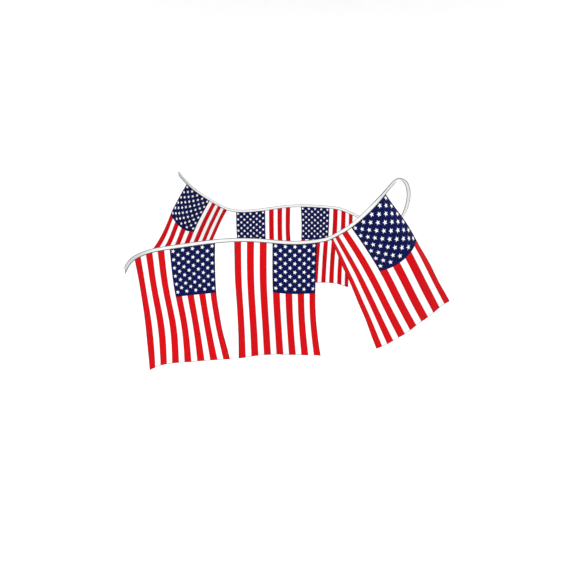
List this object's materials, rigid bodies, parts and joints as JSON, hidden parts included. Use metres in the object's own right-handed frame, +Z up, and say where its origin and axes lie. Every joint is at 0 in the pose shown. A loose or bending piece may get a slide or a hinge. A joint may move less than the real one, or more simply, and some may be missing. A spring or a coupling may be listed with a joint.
{
  "type": "fabric flag bunting",
  "caption": "Fabric bunting: rectangular flags hung by their short edge from one folded tape that runs out, loops over and comes back behind.",
  "frame": {"origin": "upper side of the tape at the top of its loop, where the bunting is held", "axes": "+X along the front run towards the loop, +Y from the front run to the back run, +Z up"},
  "size_m": [1.2711, 1.0868, 0.7487],
  "materials": {
    "tape": "matt white woven tape",
    "flag": "matt printed cloth, red and white stripes with a dark blue canton"
  },
  "bodies": {
    "root": {"tape": "tape", "flag_front_left": "flag", "flag_front_middle": "flag", "flag_front_right": "flag", "flag_back_right": "flag", "flag_back_middle": "flag", "flag_back_left": "flag"}
  },
  "joints": []
}
